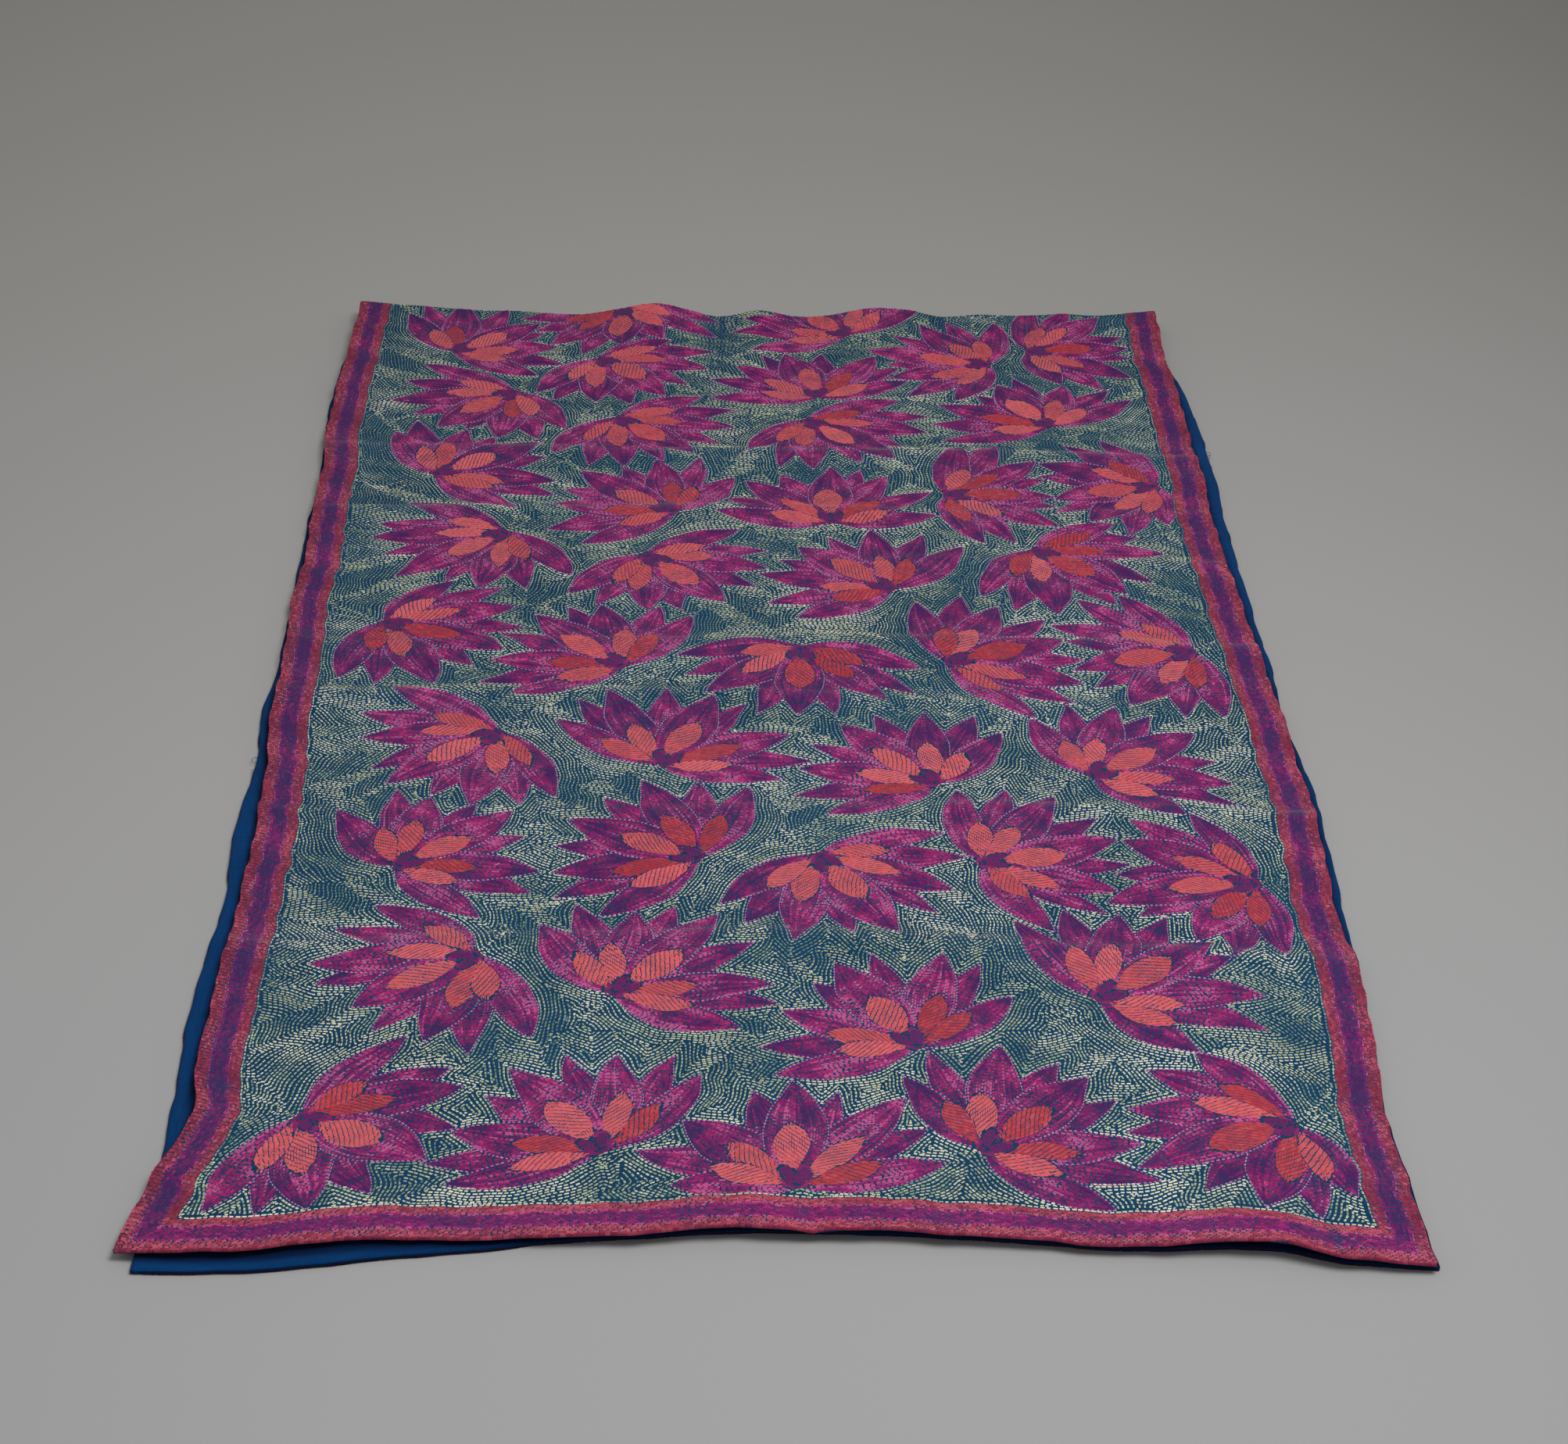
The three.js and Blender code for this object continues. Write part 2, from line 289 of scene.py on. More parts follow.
def parted(tree, vector):
    """The three numbers of a vector."""
    return add_node(tree, "ShaderNodeSeparateXYZ", {0: vector}).outputs


def noise(tree, vector, scale, detail):
    given = {"Vector": vector, "Scale": scale, "Detail": detail}
    return add_node(tree, "ShaderNodeTexNoise", given).outputs["Fac"]


def roughen(tree, shader, height, strength, depth):
    """Raises a surface by a height, so many millimetres deep, for the light to catch."""
    given = {"Strength": strength, "Distance": depth / 1000, "Height": height}
    tree.links.new(add_node(tree, "ShaderNodeBump", given).outputs[0], shader.inputs["Normal"])


def new_finish(name, roughness, sheen, sheen_roughness, specular):
    """An empty finish with its shader, whose plain values stand on the shader's own sockets."""
    material = bpy.data.materials.new(name)
    material.use_nodes = True
    tree = material.node_tree
    shader = tree.nodes["Principled BSDF"]
    shader.inputs["Roughness"].default_value = roughness
    shader.inputs["Sheen Weight"].default_value = sheen
    shader.inputs["Sheen Roughness"].default_value = sheen_roughness
    shader.inputs["Specular IOR Level"].default_value = specular
    return material, tree, shader


# colour of the painted shadow on the lower half, under and just past the upper half
EDGE_SHADOW_COLOUR = (0.0004, 0.004, 0.026)


def woven_cotton(name, deep, bright, rubbed, yarn, depth):
    """Plain-woven cotton: warp and weft yarns of uneven thickness and dye, paler where it is rubbed, and
    darkened by painted shadow under and just past the edge of the upper half.
    """
    material, tree, shader = new_finish(name, roughness=0.95, sheen=0.01, sheen_roughness=0.5, specular=0.08)
    flat = kept(tree, "flat", "Vector")
    ridges = []
    for way in parted(tree, flat)[:2]:
        ridges.append(arithmetic(tree, "SINE", arithmetic(tree, "MULTIPLY", way, 2 * math.pi / yarn)))
    weave = arithmetic(tree, "MULTIPLY", *ridges)
    slubs = []
    for stretch in ((0.05, 1.6, 1), (1.6, 0.05, 1)):
        mapping = add_node(tree, "ShaderNodeMapping", {"Vector": flat})
        mapping.inputs["Scale"].default_value = stretch
        slubs.append(noise(tree, mapping.outputs[0], 1.0, 3))
    uneven = arithmetic(tree, "ADD", *slubs)
    fade = noise(tree, flat, 0.012, 4)
    tone = arithmetic(tree, "MULTIPLY_ADD", uneven, 0.5, arithmetic(tree, "MULTIPLY", weave, 0.12))
    tone = arithmetic(tree, "MULTIPLY_ADD", fade, 0.5, arithmetic(tree, "SUBTRACT", tone, 0.25))
    dyed = shades(tree, tone, [(0.25, deep), (0.75, bright)])
    paler = arithmetic(tree, "MULTIPLY", kept(tree, "worn"), 0.22)
    # painted shadow from the upper half, stored for each point of the cloth
    shadow_share = arithmetic(tree, "MULTIPLY", kept(tree, "covered"), 0.85)
    colour = blend_colour(tree, shadow_share, blend_colour(tree, paler, dyed, rubbed), EDGE_SHADOW_COLOUR)
    tree.links.new(colour, shader.inputs["Base Color"])
    roughen(tree, shader, arithmetic(tree, "MULTIPLY_ADD", uneven, 0.6, weave), 0.6, depth)
    return material


# the mesh has a row on every crease and closer rows beside it
crease_rows = [HALF_LENGTH * (1 - share) + step for share, *_ in CREASES
               for step in (-3, -1.3, 0, 1.3, 3, 6, 9)]
upper_rows = np.array([row for row in np.linspace(0, HALF_LENGTH, 205)
                       if min(abs(row - crease) for crease in crease_rows) > 1.2])
turn_rows = HALF_LENGTH + np.linspace(0, FOLD_LENGTH, 15)[1:-1]
under_rows = HALF_LENGTH + FOLD_LENGTH + np.linspace(0, HALF_LENGTH, 80)
face_rows = np.sort(np.concatenate([upper_rows, crease_rows, turn_rows, under_rows]))
face_columns = np.sort(np.append(np.linspace(0, WIDTH, 77), NICK + np.array([-5.5, -2.5, 0.0, 2.5])))
kantha_cloth = cloth_sheet("kantha_cloth", face_columns, face_rows, FACE_INNER, FACE_OUTER)
blue_cotton = woven_cotton("deep_blue_cotton", (0.003, 0.027, 0.072), (0.008, 0.060, 0.145),
                           (0.30, 0.27, 0.33), 0.62, 0.12)
kantha_cloth.data.materials.append(blue_cotton)
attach(kantha_cloth, "root")
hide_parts("kantha_face")

# ------------------------------------------------------------------------------------------------------
# Backing: a second strip of plain blue cotton behind the face, with no stitches of its own. It shows
# where the lower half reaches past the upper one, and is painted darker under and just past the upper half:
# painted shadow.
BACKING_INNER = 0.25

backing_rows = np.concatenate([np.linspace(0, HALF_LENGTH, 90), turn_rows[::2],
                               HALF_LENGTH + FOLD_LENGTH + np.linspace(0, HALF_LENGTH - 22, 60),
                               STRIP_LENGTH - np.arange(12)[::-1] * 1.8])
side_columns = np.arange(9) * 2.4
backing_columns = np.concatenate([side_columns, np.linspace(26, WIDTH - 26, 46), WIDTH - side_columns[::-1]])
backing_cloth = cloth_sheet("backing_cloth", backing_columns, backing_rows, BACKING_INNER, BACKING_OUTER)
plain_cotton = woven_cotton("plain_blue_cotton", (0.0003, 0.023, 0.094), (0.001, 0.052, 0.188),
                            (0.18, 0.25, 0.40), 0.45, 0.10)
backing_cloth.data.materials.append(plain_cotton)
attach(backing_cloth, "root")
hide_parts("backing")

# ------------------------------------------------------------------------------------------------------
# Hem: the raw edges of the face and the backing are turned in against each other all round. They make a
# soft rounded edge about two millimetres thick, painted a much darker navy than the rest: painted shade, so
# the gap under the edge reads dark.
HEM_INSET = 0.4
HEM_BULGE = 0.7
HEM_STEP = 6.0
HEM_ROUND = 9


def round_the_edge(inset, step):
    """Points round the strip's outline, moved in by inset, and the way outward at each."""
    corners = np.array([(inset, inset), (WIDTH - inset, inset), (WIDTH - inset, STRIP_LENGTH - inset),
                        (inset, STRIP_LENGTH - inset)])
    places, ways = [], []
    for side, outward in enumerate([(0, -1), (1, 0), (0, 1), (-1, 0)]):
        here, there = corners[side], corners[(side + 1) % 4]
        count = int(np.linalg.norm(there - here) / step)
        places.append(here + (there - here) * np.arange(count)[:, None] / count)
        ways.append(np.repeat([outward], count, axis=0))
    return np.concatenate(places), np.concatenate(ways)


def hem_line(edge, outward, turn, swell=0.0):
    """The line round the rounded edge at one turn of its section, from -90 underneath to 90 on top."""
    bulge = (HEM_BULGE + swell) * math.cos(math.radians(turn))
    half = (FACE_OUTER - BACKING_INNER) / 2 + swell
    level = (BACKING_INNER + FACE_OUTER) / 2 + half * math.sin(math.radians(turn))
    line = lay(edge[:, 0], edge[:, 1], level)
    line[:, 0] += outward[:, 0] * bulge / 1000
    line[:, 1] -= np.abs(outward[:, 1]) * bulge / 1000
    return line


def ring_faces(rings, around):
    """Faces between rings of points that follow one another, each ring closed on itself."""
    ring, place = np.meshgrid(np.arange(rings - 1) * around, np.arange(around), indexing="ij")
    beyond = (place + 1) % around
    faces = [ring + place, ring + beyond, ring + around + beyond, ring + around + place]
    return np.stack(faces, axis=-1).reshape(-1, 4)


edge, outward = round_the_edge(HEM_INSET, HEM_STEP)
hem_turns = np.linspace(-90, 90, HEM_ROUND)
hem_points = np.concatenate([hem_line(edge, outward, turn) for turn in hem_turns])
hem_flat = np.column_stack([np.tile(edge, (HEM_ROUND, 1)), np.repeat(hem_turns, len(edge))])
hem = mesh_piece("turned_hem", hem_points, ring_faces(HEM_ROUND, len(edge)))
keep_values(hem, flat=hem_flat, worn=dust(hem_flat[:, 0], hem_flat[:, 1]) * 0.5 + 0.12)
# the hem's very dark cotton is painted shade for the gap beneath the edge
hem_shade_cotton = woven_cotton("painted_shade_hem_cotton", (0.0004, 0.004, 0.020), (0.001, 0.012, 0.052),
                           (0.10, 0.12, 0.22), 0.45, 0.10)
hem.data.materials.append(hem_shade_cotton)
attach(hem, "root")

# ------------------------------------------------------------------------------------------------------
# Loose threads: a few ends of sewing cotton that stand out from the side hems in small loops.
# Each leaves the hem, turns once in the air and comes back to it.
THREAD_RADIUS = 0.14
THREAD_SIDES = 6
THREAD_STEPS = 40
LOOP_TURNS = 1.15
# left or right hem of the lower half, share of the way from the fold, and size of the loop
THREADS = [(-1, 0.590, 3.4), (-1, 0.602, 1.7), (1, 0.205, 3.2), (1, 0.212, 1.8), (-1, 0.28, 1.6)]


def unit(vectors):
    return vectors / np.linalg.norm(vectors, axis=1, keepdims=True)


thread_points, thread_faces = [], []
turn = np.linspace(0, 1, THREAD_STEPS)
swing = 2 * math.pi * LOOP_TURNS * turn
ring_turns = np.arange(THREAD_SIDES)[None, :, None] * 2 * math.pi / THREAD_SIDES
for number, (side, share, size) in enumerate(THREADS):
    along = HALF_LENGTH * (1 + share) + FOLD_LENGTH
    root = lay(np.array([WIDTH if side > 0 else 0.0]), np.array([along]), 1.0)[0] * 1000
    out = side * (size * (1 - np.cos(swing)) / 2 - 0.4)
    back = size * 0.55 * np.sin(swing) - size * turn
    line = root + np.stack([out, back, 0.8 * np.sin(math.pi * turn) * (1 - turn)], axis=1)
    ahead = unit(np.gradient(line, axis=0))
    beside = unit(np.cross(ahead, (0, 0, 1)))
    above = np.cross(beside, ahead)
    tube = np.cos(ring_turns) * beside[:, None] + np.sin(ring_turns) * above[:, None]
    thread_points.append((line[:, None] + THREAD_RADIUS * tube).reshape(-1, 3) / 1000)
    thread_faces.append(ring_faces(THREAD_STEPS, THREAD_SIDES) + number * THREAD_STEPS * THREAD_SIDES)
loose_threads = mesh_piece("loose_threads", np.concatenate(thread_points), np.concatenate(thread_faces))
thread_flat = np.zeros((len(loose_threads.data.vertices), 3))
thread_flat[:, 1] = np.arange(len(thread_flat)) * 0.05
keep_values(loose_threads, flat=thread_flat, worn=np.full(len(thread_flat), 0.3))
loose_threads.data.materials.append(plain_cotton)
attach(loose_threads, "root")

# ------------------------------------------------------------------------------------------------------
# Lotus flowers: each is a fan of pointed petals round one base, drawn by hand and filled with rows of
# running stitch in magenta cotton that follow the petal. Five narrow lobes lie over them, filled with close
# rows of coral or red whose gaps line up slantwise.
BORDER = 20.8               # width of the border round the whole strip
UNDER_FROM = HALF_LENGTH + FOLD_LENGTH + 30     # from here on the stitches are longer and pressed flat
BASE_BACK = 28.5            # from the middle of a flower back to the base of its petals
RED_SHARE = 0.28            # how many lobes are red, and how many of those on the axis
RED_AXIS_SHARE = 0.15

# millimetres from the hem, then for each flower its place across, its step off the row, and its tilt
LOTUS_ROWS = [
    (78, [(74, -1, -30), (179, 3, 131), (284, -21, 92), (389, 3, 48), (491, -2, 209)]),
    (200, [(101, -2, 220), (212, 3, 48), (327, -38, 120), (452, 2, 41)]),
    (310, [(98, 4, 34), (208, 5, 149), (309, -31, 299), (407, -1, 18), (494, -25, 196)]),
    (412, [(104, 0, 223), (224, 10, 61), (342, -12, 129), (468, -4, 33)]),
    (525, [(80, 21, 330), (172, 0, 134), (293, -27, 267), (405, -1, 22), (493, -1, 197)]),
    (635, [(99, 19, 224), (223, -14, 306), (333, -13, 131), (464, 2, 314)]),
    (745, [(94, 26, 37), (203, -24, 140), (320, -28, 93), (424, -12, 3), (500, -3, 193)]),
    (835, [(98, 26, 226), (206, -14, 312), (330, -14, 313), (457, 26, 114)]),
    (930, [(91, 37, 47), (189, -14, 306), (314, -24, 102), (409, 11, 160), (495, 30, 5)]),
    (1000, [(183, -9, 268), (327, 4, 120)]),
]

# each petal, the undermost first: lean from the flower's axis, length, width, bow, how full it is
OUTER_PETALS = [(17, 77, 22, 0.02, 0.92), (-17, 77, 22, -0.02, 0.92), (57, 79, 22, 0.04, 0.92),
                (-57, 79, 22, -0.04, 0.92), (37, 78, 26, 0.03, 0.90), (-37, 78, 26, -0.03, 0.90),
                (0, 80, 29, 0.0, 0.92), (88, 70, 22, -0.16, 0.82), (-88, 70, 22, 0.16, 0.82)]
# each lobe: lean, start, length, width, bow; its form is how full it is and how far out it is widest
LOBES = [(43, 5, 40, 13.8, 0), (-43, 5, 40, 13.8, 0), (73, 4, 36, 13.4, -0.10), (-73, 4, 36, 13.4, 0.10),
         (0, 9, 40, 17, 0)]
LOBE_FORM = (0.78, 1.25)
HEART_PETALS = [(0, -3, 15, 10), (25, 1, 15, 7), (-25, 1, 14, 7)]     # lean, start, length, width
ROOT = (-2.5, 19, 17)       # the close round filling under the heart: start, length, width


def half_width(petal, share):
    share = np.clip(share, 0, 1)
    return petal.width / 2 * np.maximum(np.sin(np.pi * share ** petal.belly), 0) ** petal.fullness


def bow(petal, share):
    """How far a petal's middle line has bent to the left."""
    return petal.bow * petal.length * share ** 2


def on_petal(petal, share, side):
    """A point of the strip from a share of the petal's length and a distance to the left of its middle."""
    x = share * petal.length
    y = side + bow(petal, share)
    cos, sin = math.cos(petal.lean), math.sin(petal.lean)
    return np.stack([petal.root[0] + x * cos - y * sin, petal.root[1] + x * sin + y * cos], axis=-1)


def from_root(petal, points):
    """How far points of the strip lie out along a petal's axis, and to its left."""
    cos, sin = math.cos(petal.lean), math.sin(petal.lean)
    x, y = (points - petal.root).T
    return x * cos + y * sin, y * cos - x * sin


def within(petal, points, margin):
    """Which points of the strip lie on a petal, or within a margin round it."""
    out, side = from_root(petal, points)
    share = out / petal.length
    side = np.abs(side - bow(petal, share))
    reach = margin / petal.length
    return (share > -reach) & (share < 1 + reach) & (side < half_width(petal, share) + margin)


def make_petal(base, lean, start, length, width, bend, fullness, belly, kind, tone=0.5):
    """One petal, with the small differences of hand drawing."""
    lean = lean + math.radians(rng.normal(0, 2.5))
    start = start + rng.normal(0, 0.5)
    root = base + start * np.array([math.cos(lean), math.sin(lean)])
    return SimpleNamespace(root=root, lean=lean, length=length * rng.normal(1, 0.035),
                           width=width * rng.normal(1, 0.06), bow=bend + rng.normal(0, 0.02),
                           fullness=fullness, belly=belly, kind=kind, tone=tone,
                           twill=rng.choice([-1, 1]) * rng.uniform(0.9, 1.4))


def make_lotus(across, along, tilt):
    """The petals of one lotus, the undermost first."""
    axis = math.radians(tilt + rng.normal(0, 2))
    size = rng.normal(1.0, 0.015)
    centre = np.array([across, along])
    base = centre - BASE_BACK * np.array([math.cos(axis), math.sin(axis)])
    petals = []
    for lean, length, width, bend, fullness in OUTER_PETALS:
        petals.append(make_petal(base, axis + math.radians(lean), 0, length * size, width * size,
                                 bend, fullness, 1.0, "outer", rng.uniform(-0.25, 0.15)))
    petals.append(make_petal(base, axis, *ROOT, 0, 0.45, 1.0, "root"))
    for lean, start, length, width, bend in LOBES:
        red = rng.random() < (RED_AXIS_SHARE if lean == 0 else RED_SHARE)
        tone = rng.uniform(0.0, 0.25) if red else rng.uniform(0.5, 0.95)
        petals.append(make_petal(base, axis + math.radians(lean), start * size, length * size,
                                 width * size, bend, *LOBE_FORM, "lobe", tone))
    for lean, start, length, width in HEART_PETALS:
        petals.append(make_petal(base, axis + math.radians(lean), start, length, width, 0, 0.7, 1.0,
                                 "heart", 0.0))
    return SimpleNamespace(centre=centre, petals=petals)


LAST_UNDER_ROW = 960        # the row nearest the fold is sewn on the upper half only
lotuses = []
for from_hem, flowers in LOTUS_ROWS:
    for across, step, tilt in flowers:
        lotuses.append(make_lotus(across, from_hem + step, tilt))
        if from_hem < LAST_UNDER_ROW:
            lotuses.append(make_lotus(WIDTH - across, STRIP_LENGTH - from_hem - step, tilt + 180))


def outer_petals(lotus):
    return [petal for petal in lotus.petals if petal.kind == "outer"]


def border_room(points):
    """How far points lie inside the inner line of the border."""
    across, along = points.T
    return np.minimum.reduce([across, WIDTH - across, along, STRIP_LENGTH - along]) - BORDER


# a petal that would run into a neighbour or the border is drawn shorter
NEIGHBOUR_REACH = 150
SHORTEST_PETAL = 34
tip_shares = np.repeat([0.55, 0.7, 0.8, 0.9, 0.96, 1.0], 2)
tip_sides = np.tile([1, -1], 6)
for _ in range(8):
    for lotus in lotuses:
        near = [petal for other in lotuses if other is not lotus
                and np.linalg.norm(other.centre - lotus.centre) < NEIGHBOUR_REACH
                for petal in outer_petals(other)]
        own = outer_petals(lotus)
        tips = np.concatenate([on_petal(p, tip_shares, tip_sides * half_width(p, tip_shares)) for p in own])
        hit = border_room(tips) < 1.0
        for petal in near:
            hit |= within(petal, tips, 0.8)
        for petal, crowded in zip(own, hit.reshape(len(own), -1).any(axis=1)):
            if crowded and petal.length > SHORTEST_PETAL:
                petal.length *= 0.97
                petal.width *= 0.99


def split_runs(points, keep):
    """The stretches of a line of points that are kept."""
    edges = np.flatnonzero(np.diff(np.concatenate([[0], keep.astype(np.int8), [0]])))
    return [points[a:b] for a, b in zip(edges[::2], edges[1::2]) if b - a > 1]


def petal_marks(petal):
    """Shares of a petal's length, a little over a millimetre apart."""
    return np.linspace(0.01, 1, max(int(petal.length / 1.2), 8))


def petal_rows(petal, spacing, inset):
    """Rows side by side from a petal's root to its tip, and where each is sewn: many stop as they crowd."""
    shares = petal_marks(petal)
    half = np.maximum(half_width(petal, shares) - inset, 0)
    count = max(int(round((petal.width - 2 * inset) / spacing)), 2)
    for number in range(count):
        place = (2 * number + 1) / count - 1
        rank = abs(number - count // 2)
        least = 0.55 if rank % 2 else (0.27 if rank % 4 else 0.12 * min(rank, 1))
        yield on_petal(petal, shares, place * half), 2 * half / count > least * spacing


def petal_outline(petal):
    """The two sides of a petal from its root to its tip."""
    shares = petal_marks(petal)
    for side in (1, -1):
        yield on_petal(petal, shares, side * half_width(petal, shares))


def uncovered(lotus, number, points, margin):
    """Which points of a petal aren't hidden by the petals that lie over it."""
    seen = border_room(points) > 0.6
    for petal in lotus.petals[number + 1:]:
        seen &= ~within(petal, points, margin)
    return seen


def sway(points):
    """The slight waver of rows sewn by eye."""
    x, y = points.T
    aside = np.sin(0.21 * y + 0.05 * x) + np.sin(0.083 * x + 0.31 * y + 1)
    ahead = np.sin(0.19 * x - 0.06 * y) + np.sin(0.09 * y + 0.27 * x + 2)
    return points + 0.32 * np.stack([aside, ahead], axis=1)


LONGER_UNDER = 2.3          # stitches of the lower half are longer
LEAST_STITCH = 0.2
LEAST_ROW = 0.55            # the shortest row that is sewn, as a share of a stitch
# the same for a row of slanting stitches, as a share of a stitch and its gap; then how near its ends a gap
# may lie, how unevenly the gaps fall, and the shortest stitch
SLANT_ROW, SLANT_ENDS, SLANT_SPREAD, SLANT_STITCH = 0.2, 0.15, 0.07, 0.12


def lengthening(row):
    """How many times longer the stitches of a row are than on the upper half."""
    return LONGER_UNDER if row[0, 1] > UNDER_FROM else 1.0


def stitches_between(first, last, marks, row):
    """Stitches from the marks along a row where each starts and ends."""
    ends = [np.interp(at, marks, row[:, axis]) for at in (first, last) for axis in (0, 1)]
    return np.stack(ends, axis=1)


def run_stitches(row, stitch, gap, start, slant=0.0, spread=0.1):
    """Running stitches along a row, as the two ends of each; with a slant each is turned a little."""
    long = lengthening(row)
    steps = np.linalg.norm(np.diff(row, axis=0), axis=1)
    marks = np.concatenate([[0], np.cumsum(steps)])
    length = marks[-1] - start
    count = int(round((length + gap * long) / ((stitch + gap) * long)))
    if count < 1 or length < LEAST_ROW * stitch:
        return np.empty((0, 4))
    pitch = (length + gap * long) / count
    first = start + np.arange(count) * pitch
    last = first + (pitch - gap * long) * rng.normal(1, spread, count)
    first = first + rng.normal(0, spread * gap, count)
    ends = stitches_between(first, last, marks, row)
    ends = ends[np.linalg.norm(ends[:, 2:] - ends[:, :2], axis=1) > LEAST_STITCH]
    if slant:
        cos, sin = math.cos(slant / long), math.sin(slant / long)
        middle = (ends[:, :2] + ends[:, 2:]) / 2
        half = (ends[:, 2:] - ends[:, :2]) / 2 @ np.array([[cos, sin], [-sin, cos]])
        ends = np.concatenate([middle - half, middle + half], axis=1)
    return ends


def slanting_stitches(petal, row, stitch, gap):
    """Stitches whose gaps lie a little further on than those of the row beside, so they line up slantwise."""
    out, side = from_root(petal, row)
    pitch = (stitch + gap) * lengthening(row)
    phase = (out + petal.twill * side) / pitch
    low, high = phase[0], phase[-1]
    if high - low < SLANT_ROW:
        return np.empty((0, 4))
    cuts = np.concatenate([[low], np.arange(math.ceil(low + SLANT_ENDS), high - SLANT_ENDS), [high]])
    cuts = np.clip(cuts + rng.normal(0, SLANT_SPREAD, len(cuts)), low, high)
    half_gap = gap * lengthening(row) / pitch / 2
    first, last = cuts[:-1] + half_gap, cuts[1:] - half_gap
    whole = last - first > SLANT_STITCH
    return stitches_between(first[whole], last[whole], phase, row)


# a stitch as points: share of its length, share of its half width, share of its height
ROUND_STITCH = np.array([(0, -0.75, 0), (0.94, -1, 0), (1, 0.75, 0), (0.06, 1, 0), (0.5, 0, 1)])
PRESSED_STITCH = np.array([(0, -0.7, 1), (0.95, -1, 1), (1, 0.7, 1), (0.05, 1, 1)])
PRESSED_WIDER = 1.2
UNEVEN_WIDTH = 0.1
UNEVEN_HEIGHT = 0.12
SUNK = 0.04                 # the foot of a stitch lies just inside the cloth
PARTED_AT = HALF_LENGTH * 0.47      # large work is parted here into two pieces


def thread_piece(name, points, faces, finish, **kept):
    """Stitches of one thread as one piece, with what its finish reads for each point."""
    piece = mesh_piece(name, points, faces)
    keep_values(piece, **kept)
    piece.data.materials.append(finish)
    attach(piece, "root")
    return piece


def stitched_piece(name, ends, tones, width, height, form, finish, skew):
    """Stitches of one shape, lying on the folds of the cloth."""
    count, corners = len(ends), len(form)
    start, run = ends[:, :2], ends[:, 2:] - ends[:, :2]
    long = np.linalg.norm(run, axis=1, keepdims=True)
    beside = np.stack([-run[:, 1], run[:, 0]], axis=1) / long + skew[:, None] * run / long
    wide = width[:, None, None] * rng.normal(1, UNEVEN_WIDTH, (count, 1, 1))
    if form is PRESSED_STITCH:
        wide = wide * PRESSED_WIDER
    flat = start[:, None] + form[None, :, :1] * run[:, None] + form[None, :, 1:2] * beside[:, None] * wide / 2
    level = FACE_OUTER - SUNK + form[None, :, 2] * height * rng.normal(1, UNEVEN_HEIGHT, (count, 1))
    level = np.where(flat[..., 1] > HALF_LENGTH + 0.7 * FOLD_LENGTH, np.minimum(level, STITCH_TOP), level)
    flat_across, flat_along = flat[..., 0].ravel(), flat[..., 1].ravel()
    points = lay(flat_across, flat_along, level.ravel())
    rim = np.arange(4)
    fan = rim[None] if corners == 4 else np.stack([rim, np.roll(rim, -1), np.full(4, 4)], axis=1)
    faces = (np.arange(count)[:, None, None] * corners + fan[None]).reshape(-1, fan.shape[1])
    strand = np.empty((count, corners, 3))
    strand[..., 0] = form[None, :, 0] * long
    strand[..., 1] = (form[None, :, 1] * wide[..., 0]) / 2
    strand[..., 2] = rng.random((count, 1)) * 50
    piece = thread_piece(name, points, faces, finish, tone=np.repeat(np.clip(tones, 0, 1), corners),
                         worn=np.repeat(dust(*start.T), corners), strand=strand.reshape(-1, 3))
    low, high = ends[:, 1].min(), ends[:, 1].max()
    place = np.stack([flat_across / WIDTH, (flat_along - low) / (high - low)], axis=1)
    bake_map = piece.data.uv_layers.new(name="OFBake")
    bake_map.data.foreach_set("uv", np.clip(place, 0.001, 0.999)[faces.ravel()].astype(np.float32).ravel())


def sew(name, work, width, height, finish, halves=1, skew=0.0):
    """Sews rows of stitches: raised on the upper half, as one piece or as two, and pressed on the lower."""
    ends, tones = (np.concatenate(values) for values in zip(*work))
    width, skew = np.broadcast_to(width, len(ends)), np.broadcast_to(skew, len(ends))
    under = ends[:, 1] >= UNDER_FROM
    parts = [("_under", under, PRESSED_STITCH)]
    if halves == 1:
        parts.append(("", ~under, ROUND_STITCH))
    else:
        hem_end = ends[:, 1] < PARTED_AT
        parts += [("_hem_end", hem_end, ROUND_STITCH), ("_fold_end", ~hem_end & ~under, ROUND_STITCH)]
    for place, part, form in parts:
        stitched_piece(name + place, ends[part], tones[part], width[part], height, form, finish, skew[part])


def stranded_cotton(name, stops, rubbed=(0.42, 0.36, 0.38)):
    """Embroidery cotton of a few loosely twisted strands, uneven in dye from stitch to stitch."""
    material, tree, shader = new_finish(name, roughness=0.7, sheen=0.02, sheen_roughness=0.4, specular=0.12)
    strand = kept(tree, "strand", "Vector")
    along, beside, _ = parted(tree, strand)
    twist = arithmetic(tree, "MULTIPLY_ADD", beside, 1.3, along)
    twist = arithmetic(tree, "SINE", arithmetic(tree, "MULTIPLY", twist, 2 * math.pi / 0.55))
    fibres = noise(tree, strand, 4.5, 2)
    uneven = arithmetic(tree, "MULTIPLY_ADD", fibres, 0.5, -0.25)
    dyed = shades(tree, arithmetic(tree, "ADD", kept(tree, "tone"), uneven), stops)
    # painted shade: the grooves of the twist are painted a little darker
    shade = arithmetic(tree, "MULTIPLY_ADD", twist, 0.06, 0.94)
    shaded = blend_colour(tree, 1.0, dyed, mixed(tree, shade, shade, shade), "MULTIPLY")
    paler = arithmetic(tree, "MULTIPLY", kept(tree, "worn"), 0.3)
    tree.links.new(blend_colour(tree, paler, shaded, rubbed), shader.inputs["Base Color"])
    roughen(tree, shader, arithmetic(tree, "ADD", twist, fibres), 0.5, 0.12)
    return material


